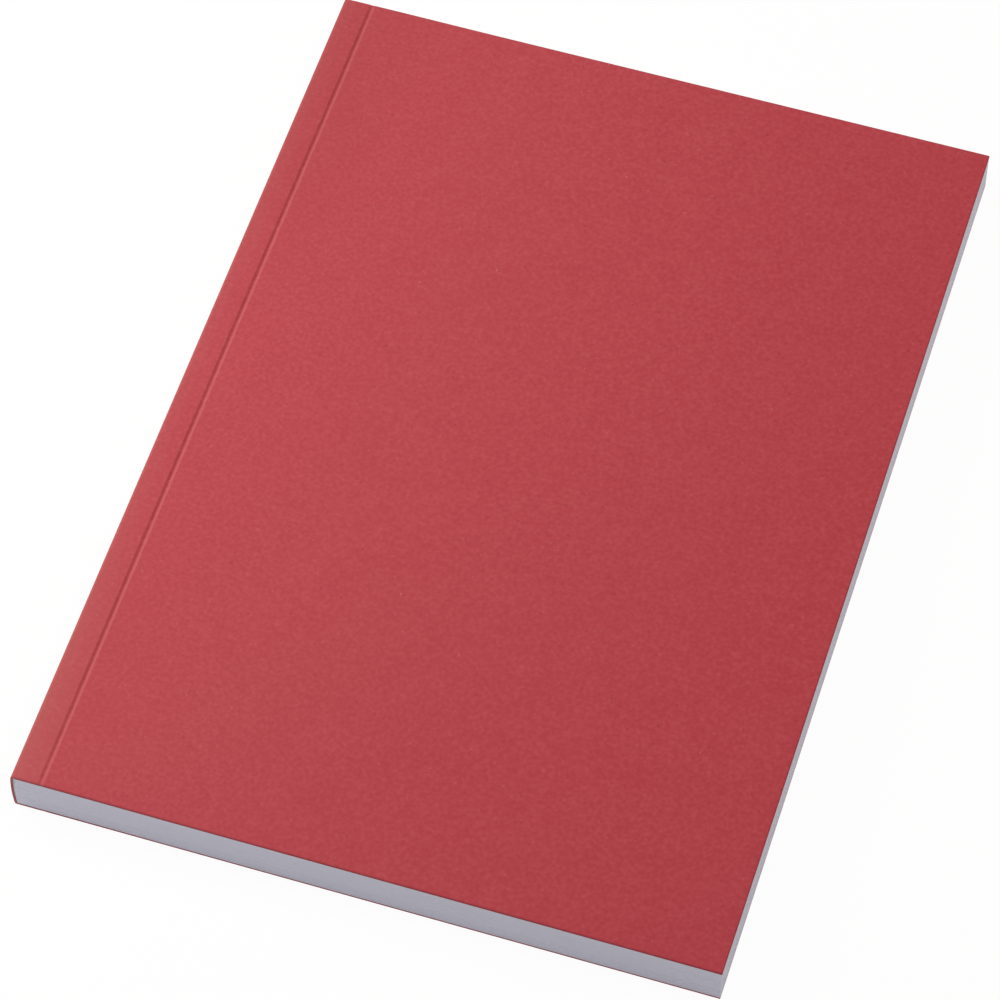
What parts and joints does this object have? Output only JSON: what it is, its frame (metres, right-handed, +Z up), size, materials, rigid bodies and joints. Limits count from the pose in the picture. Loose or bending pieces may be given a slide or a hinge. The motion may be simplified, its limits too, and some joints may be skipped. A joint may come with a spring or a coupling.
{
  "type": "softcover notebook",
  "caption": "Softcover notebook for writing, lying closed: plain card cover, scored at both hinges and glued round a flush-trimmed block of blank leaves.",
  "frame": {"origin": "middle of the footprint, on the surface that the closed notebook lies on", "axes": "+Y from tail to head, along the spine; +Z up, from the back cover to the front cover; +X from the spine to the fore edge"},
  "size_m": [0.148, 0.21, 0.0106],
  "materials": {
    "leaves": "matte",
    "glue": "satin",
    "cover_card": "matte"
  },
  "bodies": {
    "book_block": {"page_block": "leaves", "binding_glue": "glue", "cover_spine": "cover_card"},
    "front": {"front_cover": "cover_card"},
    "back": {"back_cover": "cover_card"}
  },
  "joints": [
    {"name": "front_cover_hinge", "type": "hinge", "parent": "book_block", "child": "front", "pos_m": [-0.06775, 0, 0.01064], "axis": [0, -1, 0], "range_deg": [0, 175]},
    {"name": "back_cover_hinge", "type": "hinge", "parent": "book_block", "child": "back", "pos_m": [-0.06775, 0, 0], "axis": [0, 1, 0], "range_deg": [0, 175]}
  ]
}
